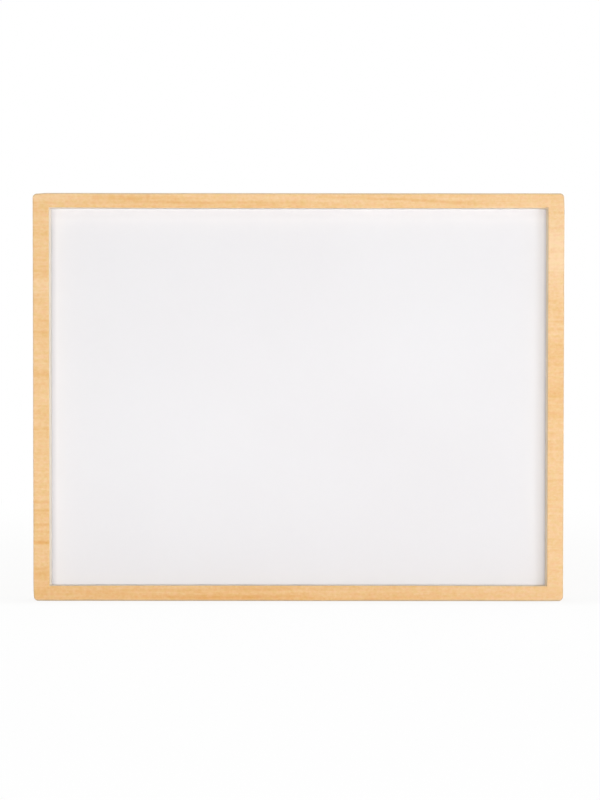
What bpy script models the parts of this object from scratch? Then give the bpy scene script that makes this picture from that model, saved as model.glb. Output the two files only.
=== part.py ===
"""Magnetic board: a white steel sheet lying in the window of a plywood frame, on a plywood back.

Metres, +Z up. X runs along the board's width and Z up its height, and the board faces -Y. The origin is
the middle of the back face, where the board meets a wall.
"""

import math

import bmesh
import bpy
from mathutils import Vector

# Outline that the frame and the back board share
BOARD_WIDTH = 0.410
BOARD_HEIGHT = 0.315
CORNER_RADIUS = 0.0032

# Widths of the frame's members, seen from the front
STILE_WIDTH = 0.0126
TOP_RAIL_WIDTH = 0.0112
BOTTOM_RAIL_WIDTH = 0.0117

# Thicknesses of the three sheets
BACK_THICKNESS = 0.003
SHEET_THICKNESS = 0.0005
FRAME_THICKNESS = 0.008

# Easing of the edges: the arrises sanded round outside, and broken along the window
OUTER_EASE = 0.0008
WINDOW_EASE = 0.0003
SHEET_CORNER_RADIUS = 0.0006

# Clearances: the glue between two layers, and the gap round the steel sheet in the window
GLUE_LINE = 0.0003
SHEET_CLEARANCE = 0.0004

# How far a point may lie from a face and still count as on it
ON_FACE = 1e-6

# Two faces that meet at less than this angle lie in one plane, in degrees
FLAT_ANGLE = 30

# Facets of a quarter turn
CORNER_STEPS = 12
SHEET_CORNER_STEPS = 4
OUTER_EASE_STEPS = 5
WINDOW_EASE_STEPS = 3

# Depth of each piece's rear face in front of the wall
BACK_REAR = 0.0
SHEET_REAR = BACK_REAR + BACK_THICKNESS + GLUE_LINE
FRAME_REAR = BACK_REAR + BACK_THICKNESS + GLUE_LINE

# Window between the members, and how far its middle lies above the board's
WINDOW_WIDTH = BOARD_WIDTH - 2 * STILE_WIDTH
WINDOW_HEIGHT = BOARD_HEIGHT - TOP_RAIL_WIDTH - BOTTOM_RAIL_WIDTH
WINDOW_RISE = (BOTTOM_RAIL_WIDTH - TOP_RAIL_WIDTH) / 2

# Colours, as linear red, green and blue
BIRCH = (0.871, 0.578, 0.305)
BIRCH_BACK = (0.807, 0.610, 0.376)
WHITE_COATING = (0.880, 0.863, 0.871)

FRONT = Vector((0, -1, 0))


def clear_scene():
    """Removes every object of the scene that the script starts in."""
    for obj in list(bpy.data.objects):
        bpy.data.objects.remove(obj, do_unlink=True)


def finish_of(name, colour, roughness, metallic=0.0):
    """A plain Principled BSDF material."""
    material = bpy.data.materials.new(name)
    material.use_nodes = True
    shader = material.node_tree.nodes["Principled BSDF"]
    shader.inputs["Base Color"].default_value = (*colour, 1.0)
    shader.inputs["Roughness"].default_value = roughness
    shader.inputs["Metallic"].default_value = metallic
    return material


def rectangle(width, height, radius=0.0, steps=1, rise=0.0):
    """Points of a rectangle round the origin, counter-clockwise from the front.

    Its corners are arcs of the radius, or square where the radius is zero.
    """
    corners = ((1, -1, -90), (1, 1, 0), (-1, 1, 90), (-1, -1, 180))
    points = []
    for side_x, side_z, start in corners:
        middle_x = side_x * (width / 2 - radius)
        middle_z = side_z * (height / 2 - radius) + rise
        for step in range(steps + 1 if radius else 1):
            angle = math.radians(start + 90 * step / steps)
            points.append((middle_x + radius * math.cos(angle), middle_z + radius * math.sin(angle)))
    return points


def add_loop(mesh, points):
    """A closed loop of edges through the points, in the plane of the piece's rear face."""
    corners = [mesh.verts.new((x, 0, z)) for x, z in points]
    return [mesh.edges.new((corners[i - 1], corners[i])) for i in range(len(corners))]


def plate(outline, thickness, window=None):
    """A sheet of the thickness, from its rear face to the front, with an outline and a window cut through."""
    mesh = bmesh.new()
    edges = add_loop(mesh, outline)
    if window:
        edges += add_loop(mesh, window)
    bmesh.ops.triangle_fill(mesh, use_beauty=True, use_dissolve=False, edges=edges, normal=-FRONT)
    drawn = bmesh.ops.extrude_face_region(mesh, geom=mesh.faces[:])
    front = [item for item in drawn["geom"] if isinstance(item, bmesh.types.BMVert)]
    bmesh.ops.translate(mesh, verts=front, vec=FRONT * thickness)
    bmesh.ops.recalc_face_normals(mesh, faces=mesh.faces)
    return mesh


def arrises(mesh, depth):
    """The sharp edges at a depth in front of the rear face: those of the window, and those of the outline."""
    window, outline = [], []
    for edge in mesh.edges:
        if any(abs(-vert.co.y - depth) > ON_FACE for vert in edge.verts):
            continue
        if edge.calc_face_angle() < math.radians(FLAT_ANGLE):
            continue
        middle = (edge.verts[0].co + edge.verts[1].co) / 2
        across = abs(middle.x) - WINDOW_WIDTH / 2
        up = abs(middle.z - WINDOW_RISE) - WINDOW_HEIGHT / 2
        (window if max(across, up) < ON_FACE else outline).append(edge)
    return window, outline


def ease(mesh, edges, radius, steps):
    """Rounds the edges to the radius."""
    bmesh.ops.bevel(mesh, geom=edges, offset=radius, offset_type="OFFSET", segments=steps,
                    profile=0.5, affect="EDGES", clamp_overlap=True)


def place(name, mesh, rear, material):
    """Makes the mesh an object whose rear face lies at a depth in front of the wall."""
    bmesh.ops.triangulate(mesh, faces=mesh.faces)
    data = bpy.data.meshes.new(name)
    mesh.to_mesh(data)
    mesh.free()
    data.shade_smooth()
    data.set_sharp_from_angle(angle=math.radians(FLAT_ANGLE))
    data.materials.append(material)
    piece = bpy.data.objects.new(name, data)
    piece.location = FRONT * rear
    bpy.context.scene.collection.objects.link(piece)
    return piece


def build_back_board(material):
    """The plywood behind: the board's outline, with its rear arris eased."""
    mesh = plate(rectangle(BOARD_WIDTH, BOARD_HEIGHT, CORNER_RADIUS, CORNER_STEPS), BACK_THICKNESS)
    ease(mesh, arrises(mesh, 0)[1], OUTER_EASE, OUTER_EASE_STEPS)
    return place("back_board", mesh, BACK_REAR, material)


def build_frame(material):
    """The face of the board, cut in one piece: a window with square corners, and eased arrises in front."""
    outline = rectangle(BOARD_WIDTH, BOARD_HEIGHT, CORNER_RADIUS, CORNER_STEPS)
    window = rectangle(WINDOW_WIDTH, WINDOW_HEIGHT, rise=WINDOW_RISE)
    mesh = plate(outline, FRAME_THICKNESS, window)
    window_edges, outline_edges = arrises(mesh, FRAME_THICKNESS)
    ease(mesh, outline_edges, OUTER_EASE, OUTER_EASE_STEPS)
    ease(mesh, window_edges, WINDOW_EASE, WINDOW_EASE_STEPS)
    return place("frame", mesh, FRAME_REAR, material)


def build_magnetic_sheet(material):
    """The coated steel sheet, cut to lie in the window with a gap all round."""
    width = WINDOW_WIDTH - 2 * SHEET_CLEARANCE
    height = WINDOW_HEIGHT - 2 * SHEET_CLEARANCE
    outline = rectangle(width, height, SHEET_CORNER_RADIUS, SHEET_CORNER_STEPS, WINDOW_RISE)
    return place("magnetic_sheet", plate(outline, SHEET_THICKNESS), SHEET_REAR, material)


clear_scene()
build_back_board(finish_of("plywood_back", BIRCH_BACK, 0.75))
build_magnetic_sheet(finish_of("white_coated_steel", WHITE_COATING, 0.35))
build_frame(finish_of("plywood", BIRCH, 0.6))
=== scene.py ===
"""Looks of the magnetic board: a white coated steel sheet in a birch plywood frame, on a plywood back.

Everything is in metres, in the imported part's own frame: X runs across the board, Z up it, and the board
faces -Y. Each piece rebuilds one solid with the edges that sanding and cutting leave, and dresses it.
"""

import logging
import math
from dataclasses import dataclass
from enum import Enum
from typing import Any

import bmesh
import bpy
from mathutils import Matrix, Vector


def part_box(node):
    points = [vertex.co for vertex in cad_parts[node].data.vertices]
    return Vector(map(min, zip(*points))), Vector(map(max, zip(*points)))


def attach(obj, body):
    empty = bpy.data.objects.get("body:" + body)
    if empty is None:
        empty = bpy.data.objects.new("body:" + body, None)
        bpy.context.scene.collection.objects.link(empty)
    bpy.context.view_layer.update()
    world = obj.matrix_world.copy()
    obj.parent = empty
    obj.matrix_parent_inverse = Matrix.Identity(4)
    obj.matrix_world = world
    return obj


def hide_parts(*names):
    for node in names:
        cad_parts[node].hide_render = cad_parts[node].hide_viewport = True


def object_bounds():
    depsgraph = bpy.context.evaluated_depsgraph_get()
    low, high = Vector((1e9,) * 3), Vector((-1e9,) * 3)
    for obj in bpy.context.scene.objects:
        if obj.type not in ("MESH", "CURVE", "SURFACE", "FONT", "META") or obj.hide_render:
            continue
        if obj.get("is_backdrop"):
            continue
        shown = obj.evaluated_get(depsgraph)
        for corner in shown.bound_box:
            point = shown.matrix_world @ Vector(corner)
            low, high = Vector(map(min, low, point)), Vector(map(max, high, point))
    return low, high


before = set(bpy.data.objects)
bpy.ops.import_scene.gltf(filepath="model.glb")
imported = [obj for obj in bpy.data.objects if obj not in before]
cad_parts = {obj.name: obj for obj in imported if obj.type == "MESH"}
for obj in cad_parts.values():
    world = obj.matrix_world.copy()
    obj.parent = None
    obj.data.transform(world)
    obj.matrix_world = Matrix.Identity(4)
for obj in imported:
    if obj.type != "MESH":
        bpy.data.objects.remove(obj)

BODY = "root"

# Two faces that meet at more than this angle keep a sharp edge between them
SHARP_ANGLE = math.radians(40)

# Points closer than this are one point
SAME_POINT = 1e-6

# Facets of each outer corner
CORNER_STEPS = 12

# A quarter turn
QUARTER = math.pi / 2

# How far a seed slides a noise along X, Y and Z, and what spreads a noise from -1 to 1
SLIDE = (1.0, 1.7, 2.3)
SPREAD = 4

Colour = tuple[float, float, float]
Scale = tuple[float, float, float]
Point = tuple[float, float]

log = logging.getLogger("board")


class Blend(Enum):
    """How one colour is laid over another."""

    MIX = "MIX"
    MULTIPLY = "MULTIPLY"


def paint(red: int, green: int, blue: int) -> Colour:
    """A colour as a screen shows it, each part from 0 to 255, turned into linear light."""
    shares = (value / 255 for value in (red, green, blue))
    # The screen's own curve: straight near black, and a power above
    return tuple(s / 12.92 if s <= 0.04045 else ((s + 0.055) / 1.055) ** 2.4 for s in shares)


def feed(slot: bpy.types.NodeSocket, value: Any) -> None:
    """Links a wire to a socket, or sets the socket to a plain value.

    Args:
        slot: The input socket.
        value: A wire, a number, a vector, a colour of three parts or a material.
    """
    if isinstance(value, Wire):
        slot.id_data.links.new(value.socket, slot)
    elif slot.type == "RGBA" and len(value) == 3:
        slot.default_value = (*value, 1.0)
    else:
        slot.default_value = value


class Wire:
    """An output socket, on which Python's operators add Math nodes."""

    def __init__(self, socket: bpy.types.NodeSocket) -> None:
        """Wraps the socket."""
        self.socket = socket

    def maths(self, operation: str, *values: "Wire | float") -> "Wire":
        """Adds a Math node.

        Args:
            operation: Blender's name for what the node does.
            *values: What goes into its sockets, in their order.

        Returns:
            Its result.
        """
        node = self.socket.id_data.nodes.new("ShaderNodeMath")
        node.operation = operation
        for slot, value in zip(node.inputs, values):
            feed(slot, value)
        return Wire(node.outputs[0])

    def __add__(self, other: "Wire | float") -> "Wire":
        """This plus the other."""
        return self.maths("ADD", self, other)

    def __radd__(self, other: float) -> "Wire":
        """The other plus this."""
        return self.maths("ADD", other, self)

    def __sub__(self, other: "Wire | float") -> "Wire":
        """This minus the other."""
        return self.maths("SUBTRACT", self, other)

    def __rsub__(self, other: float) -> "Wire":
        """The other minus this."""
        return self.maths("SUBTRACT", other, self)

    def __mul__(self, other: "Wire | float") -> "Wire":
        """This times the other."""
        return self.maths("MULTIPLY", self, other)

    def __rmul__(self, other: float) -> "Wire":
        """The other times this."""
        return self.maths("MULTIPLY", other, self)

    def __truediv__(self, other: "Wire | float") -> "Wire":
        """This divided by the other."""
        return self.maths("DIVIDE", self, other)

    def __neg__(self) -> "Wire":
        """This with its sign turned."""
        return self.maths("MULTIPLY", self, -1)

    def __abs__(self) -> "Wire":
        """This without its sign."""
        return self.maths("ABSOLUTE", self)

    def __mod__(self, other: "Wire | float") -> "Wire":
        """What is left of this after whole multiples of the other."""
        return self.maths("FLOORED_MODULO", self, other)

    def floor(self) -> "Wire":
        """The whole number below."""
        return self.maths("FLOOR", self)

    def cosine(self) -> "Wire":
        """The cosine of this, in radians."""
        return self.maths("COSINE", self)

    def sine(self) -> "Wire":
        """The sine of this, in radians."""
        return self.maths("SINE", self)

    def sign(self) -> "Wire":
        """One with the sign of this."""
        return self.maths("SIGN", self)

    def exponent(self) -> "Wire":
        """The natural exponent of this."""
        return self.maths("EXPONENT", self)

    def within(self, low: "Wire | float" = 0.0, high: "Wire | float" = 1.0) -> "Wire":
        """This, held between two limits."""
        return self.maths("MINIMUM", self.maths("MAXIMUM", self, low), high)

    def step(self, low: float, high: float) -> "Wire":
        """A smooth step, which leaves 0 at the lower value and reaches 1 at the higher one."""
        share = ((self - low) / (high - low)).within()
        return share * share * (3 - 2 * share)

    def towards(self, other: "Wire | float", share: "Wire | float") -> "Wire":
        """This, moved a share of the way to the other."""
        return self + (other - self) * share


class Graph:
    """A node tree under construction."""

    def __init__(self, tree: bpy.types.NodeTree) -> None:
        """Takes over the tree."""
        self.tree = tree

    def node(self, kind: str, settings: dict[str, Any] | None = None,
             sockets: dict[str | int, Any] | None = None) -> bpy.types.Node:
        """Adds a node.

        Args:
            kind: The node's type.
            settings: Its own settings, with a colour ramp's stops under "stops". They are set first.
            sockets: Values and wires for its inputs, by name or number.

        Returns:
            The node.
        """
        node = self.tree.nodes.new(kind)
        for name, value in (settings or {}).items():
            if name == "stops":
                self._set_stops(node.color_ramp, value)
            else:
                setattr(node, name, value)
        for key, value in (sockets or {}).items():
            feed(node.inputs[key], value)
        return node

    def wire(self, kind: str, settings: dict[str, Any] | None = None,
             sockets: dict[str | int, Any] | None = None, output: str | int = 0) -> Wire:
        """Adds a node and takes one of its outputs, named or numbered. The rest is as for node."""
        return Wire(self.node(kind, settings, sockets).outputs[output])

    def axes(self, vector: Wire) -> tuple[Wire, Wire, Wire]:
        """The three parts of a vector."""
        parts = self.node("ShaderNodeSeparateXYZ", sockets={0: vector})
        return tuple(Wire(output) for output in parts.outputs)

    def vector(self, x: Wire | float, y: Wire | float, z: Wire | float) -> Wire:
        """A vector of three parts."""
        return self.wire("ShaderNodeCombineXYZ", sockets={0: x, 1: y, 2: z})

    def noise(self, place: Wire, scale: Scale, seed: float, detail: float = 2.0) -> Wire:
        """Noise that is stretched by axis.

        Args:
            place: Where it is read.
            scale: How many of its cells fill a metre of X, Y and Z.
            seed: Slides the pattern, so that no two are alike.
            detail: How many finer layers it has.

        Returns:
            A wire about 0, mostly between -1 and 1.
        """
        mapped = self.wire("ShaderNodeVectorMath", {"operation": "MULTIPLY_ADD"}, {
            0: place, 1: scale, 2: tuple(seed * part for part in SLIDE)})
        raw = self.wire("ShaderNodeTexNoise", sockets={
            "Vector": mapped, "Scale": 1.0, "Detail": detail, "Roughness": 0.5})
        return (raw - 0.5) * SPREAD

    @staticmethod
    def _set_stops(ramp: bpy.types.ColorRamp, stops: tuple[tuple[float, Colour], ...]) -> None:
        """Gives a colour ramp its stops.

        Args:
            ramp: The ramp.
            stops: Place and colour of each, in order.
        """
        while len(ramp.elements) < len(stops):
            ramp.elements.new(1.0)
        for element, (place, colour) in zip(ramp.elements, stops):
            element.position = place
            element.color = (*colour, 1.0)


class Surface(Graph):
    """A material under construction, with a Principled shader."""

    def __init__(self, name: str) -> None:
        """Makes the material of that name, and its shader."""
        self.material = bpy.data.materials.new(name)
        self.material.use_nodes = True
        super().__init__(self.material.node_tree)
        self.tree.nodes.clear()
        self.shader = self.node("ShaderNodeBsdfPrincipled")
        self.node("ShaderNodeOutputMaterial", sockets={"Surface": Wire(self.shader.outputs[0])})
        self.place = self.wire("ShaderNodeTexCoord", output="Object")

    def set(self, **values: Any) -> None:
        """Sets or links the shader's sockets, named with underscores for spaces."""
        for name, value in values.items():
            feed(self.shader.inputs[name.replace("_", " ").title().replace("Ior", "IOR")], value)

    def mix(self, share: Wire | float, under: Any, over: Any, blend: Blend = Blend.MIX) -> Wire:
        """Lays a share of the upper colour over the lower one."""
        settings = {"data_type": "RGBA", "blend_type": blend.value}
        return self.wire("ShaderNodeMix", settings, {0: share, 6: under, 7: over}, output=2)

    def blotched(self, noise: Wire, strength: float, low: Colour, high: Colour) -> Wire:
        """Two colours that take turns as the noise falls and rises."""
        return self.mix((0.5 + strength * noise).within(), low, high)

    def bump(self, height: Wire, distance: float) -> Wire:
        """A normal that leans as the relief rises, one unit of which measures the distance."""
        return self.wire("ShaderNodeBump", sockets={
            "Strength": 1.0, "Distance": distance, "Height": height})


@dataclass(frozen=True)
class Streak:
    """A lens of darker wood in the face veneer, or of paler wood where its depth is below zero.

    Attributes:
        x: Where its middle lies across the board.
        z: Where its middle lies up the board.
        length: Half its length along the grain.
        width: Half its width across the grain.
        depth: How much it adds to the wood's tone.
        slope: How much it rises along the grain.
    """

    x: float
    z: float
    length: float
    width: float
    depth: float
    slope: float = 0.0


# Where the board's outer edge begins, as shares of half its width or height
RIM = (0.965, 0.975)

# Where the window's right wall, which gets painted shade, begins, as shares of half the board's width
RIGHT_WALL = (0.90, 0.92)

# How far a face leans from the front where it begins to count as an arris, and as a cut edge
ARRIS_LEAN = (0.002, 0.04)
WALL_LEAN = (0.35, 0.85)

# How far a cut edge turns to the side where it begins to count as an upright one
UPRIGHT_TURN = (0.45, 0.75)

# How far a glue seam spreads on either side, in plies
SEAM_SPREAD = (0.02, 0.09)

# How far from the sheet's two faces a seam can lie, in plies
SEAM_CLEAR = (0.4, 0.5)

# How strongly an arris along the grain is rubbed and darkened with painted shade, how much less one across
# it, and the window's share
RUBBED_SHADE_ALONG = 0.72
LESS_ACROSS = 0.55
WINDOW_RUBBED_SHADE = 0.25

# How strongly fibres and pores speckle a cut edge, and how strongly its glue seams show
SPECKLE = 0.16
SEAM_STRENGTH = 0.6

# How much of the window's walls is pale wood with painted light, the white sheet's bounce, rather than plain
# plies, and how far that turns to wood in front
PALE_LIT_WALL = 0.9
WOODEN_FRONT = 0.9

# How far the grain strays up or down, and how high its fibres stand
STRAY = 0.0010
FIBRE_HEIGHT = 0.00002

# How much rougher fibres make the wood, and end grain
ROUGH_FIBRE = 0.05
ROUGH_END = 0.18

# Keeps a depth inside the sheet, in plies, and a share of nothing from dividing by nought
INSIDE = 0.01
HARDLY = 0.001


@dataclass(frozen=True)
class Plywood:
    """Sanded birch plywood: the face veneer's grain along X, and its plies on the cut edges.

    Attributes:
        name: The material's name.
        half: Half the sheet's width and height.
        rear: Depth of its rear face in front of the wall.
        ply: Thickness of one ply.
        plies: Number of plies.
        pale: The palest wood of the face.
        middle: The face's usual wood.
        deep: The deepest wood of the face.
        rubbed_and_shaded: An arris, greyer from sanding and hands and darkened with painted shade where it
            turns away from the lamps.
        cut: A ply cut along its grain.
        cut_end: A ply cut across its grain.
        glue: The glue between two plies.
        pale_and_lit: The foot of the window's walls: pale cut wood, with painted light from the white
            sheet's bounce laid in its colour.
        right_wall_shade: Painted shade that darkens the window's right wall, which faces away from the
            lamps.
        ruddy: What tints the face's pinker flecks.
        golden: What tints the face's yellower flecks.
        tone: The face's mean tone, from 0 for pale to 1 for deep.
        drift: Tone gained per metre to the right and upwards.
        figure: How strongly the broad figure, the flames, the grain, the fibres and the flecks show.
        streaks: Lenses of the face veneer that stand out.
        roughness: Mean roughness.
        seed: Tells one sheet's grain from another's.
    """

    name: str
    half: Point
    rear: float
    ply: float
    plies: int
    pale: Colour
    middle: Colour
    deep: Colour
    rubbed_and_shaded: Colour
    cut: Colour
    cut_end: Colour
    glue: Colour
    pale_and_lit: Colour
    right_wall_shade: Colour
    ruddy: Colour
    golden: Colour
    tone: float
    drift: Point
    figure: tuple[float, float, float, float, float]
    streaks: tuple[Streak, ...]
    roughness: float
    seed: float

    def material(self) -> bpy.types.Material:
        """Builds the plywood's material."""
        surface = Surface(self.name)
        x, y, z = surface.axes(surface.place)
        sway = surface.noise(surface.place, (16, 9, 26), self.seed) * STRAY
        swayed = surface.vector(x, y, z + sway)
        fibre = surface.noise(swayed, (60, 1900, 1900), self.seed + 1, detail=3)
        tone = self._tone(surface, x, z, sway, swayed, fibre)
        face = surface.wire("ShaderNodeValToRGB", {"stops": (
            (0.0, self.pale), (0.5, self.middle), (1.0, self.deep))}, {0: tone})
        hue = surface.noise(surface.place, (150, 320, 320), self.seed + 7, detail=3)
        face = surface.mix(hue.within(), face, self.ruddy, Blend.MULTIPLY)
        face = surface.mix((-hue).within(), face, self.golden, Blend.MULTIPLY)
        rim = x.maths("MAXIMUM", abs(x) / self.half[0], abs(z) / self.half[1]).step(*RIM)
        arris, wall, end, seam = self._edges(surface, y)
        # Painted shade: the arrises are darkened and greyed, most along the grain on the top and bottom
        # where less light reaches them, less in the window
        arris = arris * (WINDOW_RUBBED_SHADE + (1 - WINDOW_RUBBED_SHADE) * rim)
        face = surface.mix(arris, face, self.rubbed_and_shaded)
        cross = surface.noise(surface.place, (1500, 1500, 50), self.seed + 2, detail=3)
        speckled = end + SPECKLE * fibre + SPECKLE * cross
        edge = surface.mix(speckled.within(), self.cut, self.cut_end)
        edge = surface.mix(seam * SEAM_STRENGTH, edge, self.glue)
        # Painted light: the window's walls are paled towards their foot, where the white sheet's bounce
        # falls, and turn to wood in front
        front = ((-y - self.rear) / self.ply).step(0.5 * self.plies, self.plies)
        inner = surface.mix(front * WOODEN_FRONT, self.pale_and_lit, self.cut)
        edge = surface.mix(PALE_LIT_WALL * (1 - rim), edge, inner)
        # Painted shade: the window's right wall, which faces away from the lamps, is darkened in its colour
        right_wall_shade = (x / self.half[0]).step(*RIGHT_WALL) * (1 - rim)
        edge = surface.mix(right_wall_shade, edge, self.right_wall_shade, Blend.MULTIPLY)
        surface.set(base_color=surface.mix(wall, face, edge), metallic=0.0, specular_ior_level=0.35)
        roughness = self.roughness + ROUGH_FIBRE * fibre + ROUGH_END * wall * end
        surface.set(roughness=roughness.within(0.3, 0.95))
        relief = fibre * 0.5 + wall * end * cross
        surface.set(normal=surface.bump(relief, FIBRE_HEIGHT))
        return surface.material

    def _tone(self, surface: Surface, x: Wire, z: Wire, sway: Wire, swayed: Wire, fibre: Wire) -> Wire:
        """How deep the face veneer's colour is.

        Args:
            surface: The material under construction.
            x: Place across the board.
            z: Place up the board.
            sway: How far the grain strays up or down.
            swayed: The place with that sway.
            fibre: The noise of the single fibres.

        Returns:
            A wire from 0 for pale to 1 for deep.
        """
        parts = (
            surface.noise(swayed, (4, 90, 90), self.seed + 3),
            surface.noise(swayed, (24, 240, 240), self.seed + 4),
            surface.noise(swayed, (14, 480, 480), self.seed + 5),
            fibre,
            surface.noise(surface.place, (420, 560, 560), self.seed + 6),
        )
        tone = self.tone + self.drift[0] * x + self.drift[1] * z
        for part, strength in zip(parts, self.figure):
            tone = tone + part * strength
        for streak in self.streaks:
            along = (x - streak.x) / streak.length
            across = (z + sway - streak.z - (x - streak.x) * streak.slope) / streak.width
            tone = tone + (-(along * along + across * across)).exponent() * streak.depth
        return tone.within()

    def _edges(self, surface: Surface, y: Wire) -> tuple[Wire, Wire, Wire, Wire]:
        """Where the plies show on the cut edges.

        Args:
            surface: The material under construction.
            y: Place from the front to the wall.

        Returns:
            Masks of the arrises, rubbed and darkened with painted shade, strongest along the grain, of the
            cut edges, of end grain on them, and of the glue between plies.
        """
        normal = surface.wire("ShaderNodeNewGeometry", output="Normal")
        across, forward, up = surface.axes(normal)
        lean = 1 - abs(forward)
        wall = lean.step(*WALL_LEAN)
        upright = abs(across).step(*UPRIGHT_TURN)
        turned = abs(across) / (abs(across) + abs(up) + HARDLY)
        arris = lean.step(*ARRIS_LEAN) * (RUBBED_SHADE_ALONG - LESS_ACROSS * turned)
        depth = (-y - self.rear) / self.ply
        layer = depth.within(INSIDE, self.plies - INSIDE)
        crossed = layer.floor() % 2
        end = crossed.towards(1 - crossed, upright)
        seam = 1 - abs(depth - (depth + 0.5).floor()).step(*SEAM_SPREAD)
        near, far = SEAM_CLEAR
        inner = depth.step(near, far) * (1 - depth.step(self.plies - far, self.plies - near))
        return arris, wall, end, seam * inner


@dataclass(frozen=True)
class PaintedShade:
    """Painted shade on the sheet along one wall of the window, where the wall's contact shadow falls.

    Attributes:
        edge: Where the sheet's edge lies, across or up the board.
        upright: Whether the edge runs up the board.
        width: How far the painted shade reaches onto the sheet.
        strength: How strongly it shows at the wall.
    """

    edge: float
    upright: bool
    width: float
    strength: float


@dataclass(frozen=True)
class WhiteCoating:
    """The steel sheet's smooth white coating, with the faint unevenness of a sprayed film.

    Attributes:
        dust_and_shade: Where painted shade darkens it along the window's walls.
        name: The material's name.
        clean: The coating where it is clean.
        handled: The coating where hands have dulled it.
        dusty_and_shaded: The coating's colour under the painted shade.
        roughness: Mean roughness.
        peel: Height of the sprayed film's unevenness.
    """

    dust_and_shade: tuple[PaintedShade, ...] = ()
    name: str = "white_coating"
    clean: Colour = paint(240, 239, 241)
    handled: Colour = paint(238, 236, 238)
    # The colour of the painted shade next to the window's walls
    dusty_and_shaded: Colour = paint(201, 200, 206)
    roughness: float = 0.5
    peel: float = 0.000006

    def material(self) -> bpy.types.Material:
        """Builds the coating's material."""
        surface = Surface(self.name)
        cloud = surface.noise(surface.place, (7, 7, 7), 5.0)
        film = surface.noise(surface.place, (420, 420, 420), 8.0)
        colour = surface.blotched(cloud, 0.3, self.clean, self.handled)
        x, _, z = surface.axes(surface.place)
        # Painted shade: the sheet darkens next to each listed wall, where the wall's contact shadow falls
        for line in self.dust_and_shade:
            away = abs((x if line.upright else z) - line.edge)
            share = (1 - away.step(0.0, line.width)) * line.strength * (1 + 0.2 * cloud)
            colour = surface.mix(share.within(), colour, self.dusty_and_shaded)
        surface.set(base_color=colour, metallic=0.0,
                    roughness=(self.roughness + 0.03 * cloud + 0.02 * film).within())
        surface.set(normal=surface.bump(film, self.peel))
        return surface.material


@dataclass(frozen=True)
class CutSteel:
    """Zinc-coated steel where the sheet was sheared, and on its back.

    Attributes:
        name: The material's name.
        bright: The metal where it is bright.
        dull: The metal where it has dulled.
    """

    name: str = "cut_steel"
    bright: Colour = paint(188, 190, 192)
    dull: Colour = paint(150, 152, 154)

    def material(self) -> bpy.types.Material:
        """Builds the steel's material."""
        surface = Surface(self.name)
        shear = surface.noise(surface.place, (900, 3000, 900), 2.0)
        surface.set(base_color=surface.blotched(shear, 0.3, self.bright, self.dull),
                    metallic=1.0, roughness=(0.38 + 0.08 * shear).within())
        return surface.material


@dataclass(frozen=True)
class DriedGlue:
    """Wood glue, dried amber in the seam between two boards.

    Attributes:
        name: The material's name.
        thin: The glue where it is thin.
        thick: The glue where it is thick.
    """

    name: str = "dried_glue"
    thin: Colour = paint(206, 160, 104)
    thick: Colour = paint(160, 112, 62)

    def material(self) -> bpy.types.Material:
        """Builds the glue's material."""
        surface = Surface(self.name)
        bead = surface.noise(surface.place, (160, 160, 160), 3.0)
        surface.set(base_color=surface.blotched(bead, 0.35, self.thin, self.thick),
                    metallic=0.0, roughness=(0.42 + 0.1 * bead).within())
        return surface.material


@dataclass(frozen=True)
class PaleGround:
    """The studio's floor, which turns into the white backdrop away from the board, and soonest in front.

    Attributes:
        name: The material's name.
        colour: The floor where it is clean.
        dusty_and_shaded: The floor where dust lies on it.
        near: How far from the board's middle it starts to turn white.
        far: How far from there it is white.
        front: How far in front of the wall it is nearly white already.
        lead: How nearly, as a share.
        glow: How white it is at the board, as a share.
    """

    name: str = "pale_ground"
    colour: Colour = paint(240, 240, 240)
    dusty_and_shaded: Colour = paint(236, 236, 236)
    near: float = 0.12
    far: float = 0.8
    front: float = 0.03
    lead: float = 0.8
    glow: float = 0.84

    def material(self) -> bpy.types.Material:
        """Builds the floor's material."""
        surface = Surface(self.name)
        dust_and_shade = surface.noise(surface.place, (14, 14, 14), 1.0)
        surface.set(base_color=surface.blotched(dust_and_shade, 0.2, self.colour, self.dusty_and_shaded), roughness=0.9)
        reach = surface.wire("ShaderNodeVectorMath", {"operation": "LENGTH"}, {0: surface.place},
                             output="Value")
        _, y, _ = surface.axes(surface.place)
        fade = reach.step(self.near, self.far)
        fade = fade.towards(1, self.lead * (-y).step(0.0, self.front))
        seen = surface.wire("ShaderNodeLightPath", output="Is Camera Ray")
        backdrop = surface.wire("ShaderNodeEmission", sockets={"Color": (1, 1, 1), "Strength": 1.0})
        share = seen * (self.glow + (1 - self.glow) * fade)
        output = surface.tree.nodes["Material Output"]
        both = surface.wire("ShaderNodeMixShader", sockets={
            0: share, 1: Wire(surface.shader.outputs[0]), 2: backdrop})
        feed(output.inputs["Surface"], both)
        return surface.material


def placed(name: str, data: bpy.types.ID) -> bpy.types.Object:
    """Puts an object into the scene that shows the mesh, lamp or camera."""
    item = bpy.data.objects.new(name, data)
    bpy.context.scene.collection.objects.link(item)
    return item


def keep(name: str, mesh: bpy.types.Mesh, slot: str, *nodes: str) -> None:
    """Puts a finished mesh into the scene as a piece of the board.

    Args:
        name: The piece's name.
        mesh: Its mesh, in place.
        slot: The material slot that its finish belongs to; not used.
        *nodes: The solids that it stands for.
    """
    mesh.shade_smooth()
    mesh.set_sharp_from_angle(angle=SHARP_ANGLE)
    piece = placed(name, mesh)
    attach(piece, BODY)
    if nodes:
        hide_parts(*nodes)
    log.info("%s: %d faces", name, len(mesh.polygons))


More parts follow.
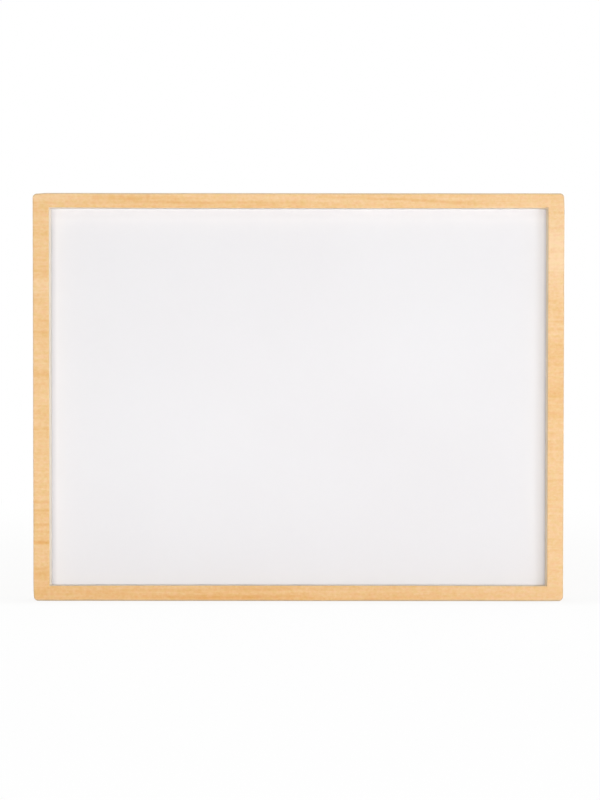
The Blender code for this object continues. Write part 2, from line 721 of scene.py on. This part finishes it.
def rounded(half: Point, radius: float, steps: int, middle: Point = (0.0, 0.0)) -> list[Point]:
    """A rectangle with round corners, counter-clockwise from the front.

    Args:
        half: Half its width and half its height.
        radius: Radius of its corners.
        steps: Facets of each corner.
        middle: Where its middle lies, across and up the board.

    Returns:
        Its points across and up the board.
    """
    points = []
    for corner in range(4):
        start = math.radians(90 * corner - 90)
        side_x = math.copysign(1, math.cos(start + QUARTER / 2))
        side_z = math.copysign(1, math.sin(start + QUARTER / 2))
        for step in range(steps + 1):
            angle = start + QUARTER * step / steps
            points.append((side_x * (half[0] - radius) + radius * math.cos(angle) + middle[0],
                           side_z * (half[1] - radius) + radius * math.sin(angle) + middle[1]))
    return points


def stacked(loops: list[tuple[list[Point], float]], ring: bool = False) -> bmesh.types.BMesh:
    """Skins a stack of loops and closes both ends, or makes a ring of them.

    Args:
        loops: Points of each loop, and its depth in front of the wall.
        ring: Whether the last loop joins the first, and no end is closed.

    Returns:
        The closed mesh.
    """
    mesh = bmesh.new()
    rings = [[mesh.verts.new((x, -depth, z)) for x, z in points] for points, depth in loops]
    count = len(rings[0])
    for lower, upper in zip(rings, rings[1:] + rings[:1] if ring else rings[1:]):
        for i in range(count):
            mesh.faces.new((lower[i], lower[(i + 1) % count], upper[(i + 1) % count], upper[i]))
    if not ring:
        mesh.faces.new(list(reversed(rings[0])))
        mesh.faces.new(rings[-1])
    bmesh.ops.recalc_face_normals(mesh, faces=mesh.faces)
    return mesh


def eased_loops(half: Point, radius: float, ease: float, steps: int, rear: float, front: float,
                ends: tuple[bool, bool], middle: Point = (0.0, 0.0),
                corner_steps: int = CORNER_STEPS) -> list[tuple[list[Point], float]]:
    """The loops of a plate, with a quarter round at its rear arris, its front one or both.

    Args:
        half: Half the plate's width and half its height.
        radius: Radius of its corners.
        ease: Radius of its arrises.
        steps: Facets of an arris.
        rear: Depth of its rear face in front of the wall.
        front: Depth of its front face in front of the wall.
        ends: Whether the rear and the front arris are round.
        middle: Where its middle lies, across and up the board.
        corner_steps: Facets of each corner.

    Returns:
        Each loop's points and its depth, from the rear to the front.
    """
    def loop(inset: float, depth: float) -> tuple[list[Point], float]:
        """One loop of the plate, drawn in from its outline."""
        shrunk = (half[0] - inset, half[1] - inset)
        return rounded(shrunk, max(radius - inset, radius / 10), corner_steps, middle), depth

    turns = [QUARTER * step / steps for step in range(steps + 1)]
    loops = []
    if ends[0]:
        loops.append(loop(2 * ease, rear))
        loops += [loop(ease * (1 - math.sin(turn)), rear + ease * (1 - math.cos(turn))) for turn in turns]
    else:
        loops.append(loop(0.0, rear))
    if ends[1]:
        loops += [loop(ease * (1 - math.cos(turn)), front - ease * (1 - math.sin(turn))) for turn in turns]
        loops.append(loop(2 * ease, front))
    else:
        loops.append(loop(0.0, front))
    return loops


def measured(node: str) -> tuple[Point, float, float, float]:
    """What a solid of the part measures.

    Args:
        node: Its name.

    Returns:
        Half its width and height, how far its middle lies above the board's, and the depths of its rear and
        front faces.
    """
    low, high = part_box(node)
    half = ((high.x - low.x) / 2, (high.z - low.z) / 2)
    return half, (high.z + low.z) / 2, -high.y, -low.y


@dataclass(frozen=True)
class Wear:
    """A corner of the frame that was sanded further than the others.

    Attributes:
        side: Which corner, as signs across and up.
        reach: How far along the edges it can be seen.
        inward: How far it lies inside the true corner, across and up.
    """

    side: tuple[int, int]
    reach: float
    inward: Point


@dataclass
class PlywoodFrame:
    """The face of the board: plywood with a window cut out of it.

    Attributes:
        corner: Radius of the outer corners.
        ease: Radius of the outer arrises.
        window_ease: Radius of the window's arrises.
        sheet_gap: Gap between the window's wall and the steel sheet.
        unevenness: How much the sanding changes the radius of the arrises, as a share.
        bows: How far the top and the bottom rail's front edge swells into the window at mid length.
        leans: How far the left, right, top and bottom wall of the window is cut back towards its foot.
        worn: The corners that were sanded further.
        corner_steps: Facets of each outer corner.
        side_steps: Facets along each side.
        wall_steps: Facets up each wall.
        ease_steps: Facets round each arris.
        face_steps: Facets across the face.
        seed: Tells one sanding from another.
        wander: How many swings of the sanding fill a metre along X, Y and Z.
    """

    corner: float = 0.0032
    ease: float = 0.0013
    window_ease: float = 0.0003
    sheet_gap: float = 0.0004
    unevenness: float = 0.2
    bows: Point = (0.00045, 0.0003)
    leans: tuple[float, float, float, float] = (-0.0001, 0.0001, 0.0002, 0.0004)
    worn: tuple[Wear, ...] = (
        Wear((-1, 1), 0.0054, (0.0, 0.0007)),
        Wear((-1, -1), 0.0060, (0.0004, 0.0001)),
        Wear((1, 1), 0.0070, (0.0004, 0.0)),
        Wear((1, -1), 0.0030, (0.0002, 0.0002)),
    )
    corner_steps: int = CORNER_STEPS
    side_steps: int = 60
    wall_steps: int = 6
    ease_steps: int = 6
    face_steps: int = 10
    seed: float = 4.0
    wander: Scale = (16, 1, 16)

    def build(self, finish: Plywood) -> None:
        """Lofts the frame with Geometry Nodes, and makes the result a plain mesh.

        Args:
            finish: What the frame is made of.
        """
        half, _, rear, front = measured("frame")
        sheet_half, rise, _, _ = measured("magnetic_sheet")
        values = {
            "Half Width": half[0],
            "Half Height": half[1],
            "Corner Radius": self.corner,
            "Window Half Width": sheet_half[0] + self.sheet_gap,
            "Window Half Height": sheet_half[1] + self.sheet_gap,
            "Window Rise": rise,
            "Rear Depth": rear,
            "Thickness": front - rear,
            "Outer Ease": self.ease,
            "Window Ease": self.window_ease,
            "Unevenness": self.unevenness,
            "Top Bow": self.bows[0],
            "Bottom Bow": self.bows[1],
            "Left Lean": self.leans[0],
            "Right Lean": self.leans[1],
            "Top Lean": self.leans[2],
            "Bottom Lean": self.leans[3],
            "Seed": self.seed,
            "Corner Steps": self.corner_steps,
            "Side Steps": self.side_steps,
            "Wall Steps": self.wall_steps,
            "Ease Steps": self.ease_steps,
            "Face Steps": self.face_steps,
            "Material": finish.material(),
        }
        carrier = placed("frame_loft", bpy.data.meshes.new("frame_loft"))
        loft = carrier.modifiers.new("loft", "NODES")
        loft.node_group = self._tree(values)
        for item in loft.node_group.interface.items_tree:
            if item.item_type == "SOCKET" and item.in_out == "INPUT":
                loft[item.identifier] = values[item.name]
        bpy.context.view_layer.update()
        graph = bpy.context.evaluated_depsgraph_get()
        mesh = bpy.data.meshes.new_from_object(carrier.evaluated_get(graph))
        mesh.name = "plywood_frame"
        bpy.data.objects.remove(carrier, do_unlink=True)
        keep("plywood_frame", mesh, "plywood", "frame")

    def _tree(self, values: dict[str, Any]) -> bpy.types.GeometryNodeTree:
        """Builds the node tree that lofts the frame.

        A grid of points is wrapped round the frame. Its columns run round the outline, and its rows run
        along the member's section: outer wall, arris, face, window arris, window wall, and back.

        Args:
            values: The tree's inputs by name, whose kinds it copies.

        Returns:
            The tree.
        """
        tree = bpy.data.node_groups.new("frame_loft", "GeometryNodeTree")
        kinds = {float: "NodeSocketFloat", int: "NodeSocketInt"}
        for name, value in values.items():
            kind = kinds.get(type(value), "NodeSocketMaterial")
            tree.interface.new_socket(name=name, in_out="INPUT", socket_type=kind)
        tree.interface.new_socket(name="Mesh", in_out="OUTPUT", socket_type="NodeSocketGeometry")
        graph = Graph(tree)
        given = {output.name: Wire(output) for output in graph.node("NodeGroupInput").outputs}

        per_side = given["Corner Steps"] + given["Side Steps"]
        counts = [given[name] for name in (
            "Wall Steps", "Ease Steps", "Face Steps", "Ease Steps", "Wall Steps")] + [1]
        rows = sum(counts[1:], counts[0]) + 1
        grid = graph.wire("GeometryNodeMeshGrid", sockets={
            "Size X": 1.0, "Size Y": 1.0, "Vertices X": per_side * 4 + 1, "Vertices Y": rows})
        index = graph.wire("GeometryNodeInputIndex")
        column = (index / rows).floor()
        row = index - column * rows
        stages = []
        start = 0
        for count in counts:
            stages.append(((row - start) / count).within())
            start = start + count
        place = self._place(graph, given, column, per_side, stages)
        moved = graph.wire("GeometryNodeSetPosition", sockets={"Geometry": grid, "Position": place})
        closed = graph.wire("GeometryNodeMergeByDistance", sockets={
            "Geometry": moved, "Distance": SAME_POINT})
        real = graph.wire("GeometryNodeRealizeInstances", sockets={"Geometry": closed})
        dressed = graph.wire("GeometryNodeSetMaterial", sockets={
            "Geometry": real, "Material": given["Material"]})
        graph.node("NodeGroupOutput", sockets={"Mesh": dressed})
        return tree

    def _place(self, graph: Graph, given: dict[str, Wire], column: Wire, per_side: Wire,
               stages: list[Wire]) -> Wire:
        """Where each point of the grid goes.

        Args:
            graph: The tree under construction.
            given: Its inputs.
            column: The point's place round the outline.
            per_side: How many columns each side has, with the corner before it.
            stages: How far the point's row has come through each stage of the section, from 0 to 1.

        Returns:
            The point's position.
        """
        lap = (column / per_side).floor()
        side = lap % 4
        count = column - lap * per_side
        turn = (count / given["Corner Steps"]).within()
        run = ((count - given["Corner Steps"]) / given["Side Steps"]).within()
        start = side * QUARTER - QUARTER
        angle = start + turn * QUARTER
        signs = ((start + QUARTER / 2).cosine().sign(), (start + QUARTER / 2).sine().sign())

        def outline(half: tuple[Wire, Wire], radius: Wire | float) -> tuple[Wire, Wire]:
            """A point of a rectangle with round corners, for the same column."""
            core = (half[0] - radius, half[1] - radius)
            length = core[1].towards(core[0], side % 2) * 2 * run
            return (signs[0] * core[0] + angle.cosine() * radius - angle.sine() * length,
                    signs[1] * core[1] + angle.sine() * radius + angle.cosine() * length)

        up_outer, round_outer, over_face, round_window, down_window, over_back = stages
        edge_x, edge_z = outline((given["Half Width"], given["Half Height"]), given["Corner Radius"])
        wander = graph.noise(graph.vector(edge_x, given["Seed"], edge_z), self.wander, 0.0)
        ease = given["Outer Ease"] * (1 + wander.within(-1, 1) * given["Unevenness"])
        inset = ease * (1 - (round_outer * QUARTER).cosine()) * (1 - over_back)
        outer = outline((given["Half Width"] - inset, given["Half Height"] - inset),
                        given["Corner Radius"] - inset)
        for wear in self.worn:
            outer = self._sanded(outer, given, wear)

        broken = given["Window Ease"] * (1 - (round_window * QUARTER).sine())
        window = outline((given["Window Half Width"] + broken, given["Window Half Height"] + broken), 0.0)
        along = window[0] / given["Window Half Width"]
        height = window[1] / given["Window Half Height"]
        bow = given["Bottom Bow"].towards(-given["Top Bow"], height * 0.5 + 0.5)
        cut = ((-given["Left Lean"]).towards(given["Right Lean"], along * 0.5 + 0.5) * down_window,
               (-given["Bottom Lean"]).towards(given["Top Lean"], height * 0.5 + 0.5) * down_window)
        spread = along * along
        swell = bow * (1 - spread * spread) * (1 - down_window)
        window = (window[0] + cut[0], window[1] + given["Window Rise"] + swell + cut[1])

        share = over_face * over_face * (3 - 2 * over_face) - over_back
        height = ((given["Thickness"] - ease) * up_outer + ease * (round_outer * QUARTER).sine()
                  - given["Window Ease"] * (1 - (round_window * QUARTER).cosine())
                  - (given["Thickness"] - given["Window Ease"]) * down_window)
        return graph.vector(outer[0].towards(window[0], share), -(given["Rear Depth"] + height),
                            outer[1].towards(window[1], share))

    @staticmethod
    def _sanded(point: tuple[Wire, Wire], given: dict[str, Wire], wear: Wear) -> tuple[Wire, Wire]:
        """Draws a point of the outline in where a corner is worn.

        Args:
            point: The point, across and up.
            given: The tree's inputs.
            wear: The worn corner.

        Returns:
            The point, drawn in.
        """
        away_x = (point[0] - given["Half Width"] * wear.side[0]) / wear.reach
        away_z = (point[1] - given["Half Height"] * wear.side[1]) / wear.reach
        share = (-(away_x * away_x + away_z * away_z)).exponent()
        return (point[0] - share * (wear.inward[0] * wear.side[0]),
                point[1] - share * (wear.inward[1] * wear.side[1]))


@dataclass
class SteelSheet:
    """The coated steel sheet in the window.

    Attributes:
        reach: How much nearer its left, right, top and bottom edge come to the window's wall than its solid.
        corner: Radius of its corners.
        ease: Radius of its sheared arrises.
        ease_steps: Facets of an arris.
        corner_steps: Facets of a corner.
    """

    reach: tuple[float, float, float, float] = (0.00026, 0.00044, 0.00054, 0.00074)
    corner: float = 0.0006
    ease: float = 0.00012
    ease_steps: int = 3
    corner_steps: int = 6

    def build(self, coating: WhiteCoating, steel: CutSteel) -> None:
        """Builds the sheet, with the coating on its front and its front arris only.

        Args:
            coating: What its front is coated with.
            steel: What it is made of.
        """
        half, rise, rear, front = measured("magnetic_sheet")
        left, right, top, bottom = self.reach
        half = (half[0] + (right + left) / 2, half[1] + (top + bottom) / 2)
        middle = ((right - left) / 2, rise + (top - bottom) / 2)
        solid = stacked(eased_loops(half, self.corner, self.ease, self.ease_steps, rear, front,
                                    (False, True), middle, self.corner_steps))
        mesh = bpy.data.meshes.new("steel_sheet")
        for face in solid.faces:
            face.material_index = 0 if face.calc_center_median().y < self.ease - front else 1
        solid.to_mesh(mesh)
        solid.free()
        mesh.materials.append(coating.material())
        mesh.materials.append(steel.material())
        keep("steel_sheet", mesh, "white_coated_steel", "magnetic_sheet")


@dataclass
class BackBoard:
    """The plywood behind the sheet, and the glue that holds the frame on it.

    Attributes:
        corner: Radius of the outer corners.
        ease: Radius of the rear arris.
        ease_steps: Facets of the arris.
        glue_inset: How far the glue stays behind the edge.
        glue_width: How far it reaches under the frame.
    """

    corner: float = 0.0032
    ease: float = 0.0008
    ease_steps: int = 6
    glue_inset: float = 0.0001
    glue_width: float = 0.004

    def build(self, finish: Plywood) -> None:
        """Builds the board.

        Args:
            finish: What it is made of.
        """
        half, _, rear, front = measured("back_board")
        solid = stacked(eased_loops(half, self.corner, self.ease, self.ease_steps, rear, front,
                                    (True, False)))
        mesh = bpy.data.meshes.new("plywood_back_board")
        solid.to_mesh(mesh)
        solid.free()
        mesh.materials.append(finish.material())
        keep("plywood_back_board", mesh, "plywood_back", "back_board")

    def build_glue(self, finish: DriedGlue) -> None:
        """Builds the film of glue that fills the seam between the back board and the frame.

        Args:
            finish: The dried glue.
        """
        half, _, _, rear = measured("back_board")
        front = measured("frame")[2]
        loops = []
        for inset, depth in ((self.glue_inset, rear), (self.glue_inset, front),
                             (self.glue_width, front), (self.glue_width, rear)):
            radius = max(self.corner - inset, self.corner / 4)
            loops.append((rounded((half[0] - inset, half[1] - inset), radius, CORNER_STEPS), depth))
        solid = stacked(loops, ring=True)
        mesh = bpy.data.meshes.new("glue_film")
        solid.to_mesh(mesh)
        solid.free()
        mesh.materials.append(finish.material())
        keep("glue_film", mesh, "plywood_back")


@dataclass(frozen=True)
class Lamp:
    """A softbox that faces the middle of the board.

    Attributes:
        name: The lamp's name.
        azimuth: Degrees to the right of the camera, seen from above.
        elevation: Degrees above the board's middle.
        distance: How far it stands off.
        size: Its width and height.
        power: Its power in watts.
    """

    name: str
    azimuth: float
    elevation: float
    distance: float
    size: Point
    power: float

    def build(self) -> None:
        """Hangs the lamp."""
        light = bpy.data.lights.new(self.name, "AREA")
        light.shape = "RECTANGLE"
        light.size, light.size_y = self.size
        light.energy = self.power
        lamp = placed(self.name, light)
        across, up = math.radians(self.azimuth), math.radians(self.elevation)
        away = Vector((math.sin(across) * math.cos(up), -math.cos(across) * math.cos(up), math.sin(up)))
        lamp.location = away * self.distance
        lamp.rotation_euler = away.to_track_quat("Z", "Y").to_euler()
        lamp.visible_camera = False


@dataclass
class Studio:
    """Floor, backdrop, lamps and camera.

    Attributes:
        floor_size: Width of the floor.
        ambient: Strength of the light from all round.
        film: Width of the camera's film in millimetres.
        lens: Focal length in millimetres.
        distance: How far the camera stands in front of the wall.
        offset: Where it stands, across and up from the board's middle.
        pitch: Degrees that it looks down.
        roll: Degrees that it leans.
        lamps: The softboxes.
    """

    floor_size: float = 12.0
    ambient: float = 0.21
    film: float = 36.0
    lens: float = 44.91
    distance: float = 0.7810
    offset: Point = (0.0012, 0.0071)
    pitch: float = 0.671
    roll: float = 0.044
    lamps: tuple[Lamp, ...] = (
        Lamp("key", 2.0, 0.0, 1.4, (0.50, 0.24), 3.2),
        Lamp("right_front", 19.0, 0.0, 2.2, (0.85, 0.24), 5.4),
        Lamp("right_side", 45.0, 0.5, 3.0, (1.2, 0.26), 18.0),
        Lamp("left_front", -14.0, 0.0, 2.0, (0.60, 0.24), 5.2),
        Lamp("overhead", 0.0, 97.0, 1.9, (0.6, 0.6), 12.0),
        Lamp("left_side", -45.0, 0.5, 2.0, (0.7, 0.26), 1.6),
        Lamp("right_rear", 125.0, 14.0, 1.8, (1.0, 1.0), 13.0),
        Lamp("left_rear", -125.0, 14.0, 1.8, (1.0, 1.0), 13.0),
    )

    def build(self) -> None:
        """Sets the whole studio up."""
        self._lay_floor()
        self._light_world()
        for lamp in self.lamps:
            lamp.build()
        self._place_camera()
        bpy.context.scene.view_settings.view_transform = "Standard"

    def _lay_floor(self) -> None:
        """Lays the floor under the board's lower edge."""
        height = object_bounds()[0].z
        half = self.floor_size / 2
        mesh = bpy.data.meshes.new("floor")
        corners = [(half * x, half * y, height) for x, y in ((-1, -1), (1, -1), (1, 1), (-1, 1))]
        mesh.from_pydata(corners, [], [(0, 1, 2, 3)])
        mesh.materials.append(PaleGround().material())
        placed("floor", mesh)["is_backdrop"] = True

    def _light_world(self) -> None:
        """Surrounds the board with a white backdrop that gives a lower, even light."""
        world = bpy.data.worlds.new("backdrop")
        world.use_nodes = True
        bpy.context.scene.world = world
        graph = Graph(world.node_tree)
        graph.tree.nodes.clear()
        path = graph.node("ShaderNodeLightPath")
        seen = Wire(path.outputs["Is Camera Ray"]) + Wire(path.outputs["Is Glossy Ray"])
        seen = (seen + Wire(path.outputs["Is Transmission Ray"])).within()
        backdrop = graph.wire("ShaderNodeBackground", sockets={
            "Color": (1, 1, 1), "Strength": self.ambient + (1 - self.ambient) * seen})
        graph.node("ShaderNodeOutputWorld", sockets={"Surface": backdrop})

    def _place_camera(self) -> None:
        """Puts the camera at the photograph's viewpoint."""
        data = bpy.data.cameras.new("camera")
        data.sensor_width = self.film
        data.lens = self.lens
        camera = placed("camera", data)
        turn = Matrix.Rotation(math.radians(90 - self.pitch), 4, "X")
        lean = Matrix.Rotation(math.radians(self.roll), 4, "Z")
        stand = Matrix.Translation((self.offset[0], -self.distance, self.offset[1]))
        camera.matrix_world = stand @ turn @ lean
        bpy.context.scene.camera = camera


# How far the middle of each stile lies from the board's
STILE_MIDDLE = 0.199


def frame_plywood() -> Plywood:
    """The frame's plywood, with the streaks of its face veneer."""
    half, _, rear, front = measured("frame")
    plies = 5
    # Height, length, width and depth of the streaks that cross each stile
    on_left = (
        (0.0600, 0.030, 0.0030, 0.10), (0.0500, 0.030, 0.0011, 0.18), (0.0180, 0.030, 0.0022, 0.20),
        (-0.0250, 0.030, 0.0040, 0.12), (-0.0980, 0.030, 0.0180, 0.10), (-0.0800, 0.030, 0.0015, 0.20),
        (-0.0870, 0.030, 0.0012, 0.14), (-0.0980, 0.030, 0.0011, 0.18), (-0.1035, 0.030, 0.0009, 0.16),
        (-0.1122, 0.030, 0.0016, 0.44), (-0.1400, 0.040, 0.0160, 0.20), (0.0850, 0.030, 0.0040, -0.14),
    )
    on_right = (
        (0.1120, 0.030, 0.0280, -0.32), (0.0735, 0.030, 0.0040, 0.12), (0.0525, 0.030, 0.0014, 0.18),
        (0.0400, 0.030, 0.0040, 0.14), (0.0340, 0.030, 0.0010, 0.20), (0.0050, 0.030, 0.0300, 0.12),
        (0.0025, 0.030, 0.0018, 0.16), (-0.0135, 0.025, 0.0022, 0.18), (-0.0640, 0.030, 0.0012, 0.18),
        (-0.0720, 0.030, 0.0045, 0.12),
    )
    streaks = (
        Streak(-0.190, 0.1500, 0.030, 0.0120, -0.10),
        Streak(0.000, 0.1532, 0.060, 0.0015, -0.16),
        Streak(-0.060, 0.1462, 0.140, 0.0018, 0.24),
        Streak(-0.066, 0.1500, 0.085, 0.0014, 0.22),
        Streak(-0.126, 0.1535, 0.035, 0.0022, 0.26),
        Streak(0.085, 0.1520, 0.055, 0.0010, 0.28, -0.045),
        *(Streak(-STILE_MIDDLE, *streak) for streak in on_left),
        *(Streak(STILE_MIDDLE, *streak) for streak in on_right),
        Streak(-0.070, -0.1520, 0.120, 0.0120, 0.19),
        Streak(0.090, -0.1520, 0.060, 0.0120, 0.10),
        Streak(0.015, -0.1520, 0.060, 0.0120, 0.07),
        Streak(-0.070, -0.1540, 0.055, 0.0022, 0.20),
        Streak(-0.108, -0.1490, 0.030, 0.0018, 0.14),
        Streak(-0.020, -0.1480, 0.040, 0.0015, 0.14),
    )
    return Plywood(
        "birch_plywood", half, rear, (front - rear) / plies, plies,
        pale=paint(253, 218, 174), middle=paint(243, 198, 139), deep=paint(232, 171, 92),
        rubbed_and_shaded=paint(204, 189, 162), cut=paint(248, 224, 184), cut_end=paint(226, 190, 138),
        glue=paint(150, 112, 72), pale_and_lit=paint(255, 247, 236), right_wall_shade=(0.93, 0.86, 0.75),
        ruddy=(1.0, 0.935, 0.965), golden=(0.965, 0.99, 0.88), tone=0.38, drift=(-0.12, 0.2),
        figure=(0.06, 0.10, 0.10, 0.05, 0.15), streaks=streaks, roughness=0.55, seed=11.0)


def back_plywood() -> Plywood:
    """The back board's plywood, plainer than the frame's."""
    half, _, rear, front = measured("back_board")
    plies = 3
    return Plywood(
        "birch_plywood_back", half, rear, (front - rear) / plies, plies,
        pale=paint(246, 218, 180), middle=paint(234, 198, 150), deep=paint(208, 160, 102),
        rubbed_and_shaded=paint(196, 176, 142), cut=paint(242, 218, 180), cut_end=paint(216, 182, 134),
        glue=paint(150, 112, 72), pale_and_lit=paint(242, 218, 180), right_wall_shade=(1.0, 1.0, 1.0),
        ruddy=(1.0, 0.955, 0.97), golden=(0.985, 1.0, 0.93), tone=0.42, drift=(0.1, -0.1),
        figure=(0.12, 0.10, 0.09, 0.05, 0.08), streaks=(), roughness=0.62, seed=37.0)


def sheet_painted_shade() -> tuple[PaintedShade, ...]:
    """The painted shade along the sheet's left, right and upper edge, where the walls' contact shadows fall.
    """
    half, rise, _, _ = measured("magnetic_sheet")
    return (
        PaintedShade(-half[0], True, 0.0046, 0.60),
        PaintedShade(half[0], True, 0.0020, 0.50),
        PaintedShade(half[1] + rise, False, 0.0090, 0.32),
    )


def main() -> None:
    """Builds the board and its studio."""
    logging.basicConfig(level=logging.INFO, format="%(message)s")
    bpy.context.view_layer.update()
    PlywoodFrame().build(frame_plywood())
    SteelSheet().build(WhiteCoating(sheet_painted_shade()), CutSteel())
    back = BackBoard()
    back.build(back_plywood())
    back.build_glue(DriedGlue())
    Studio().build()


if __name__ == "__main__":
    main()
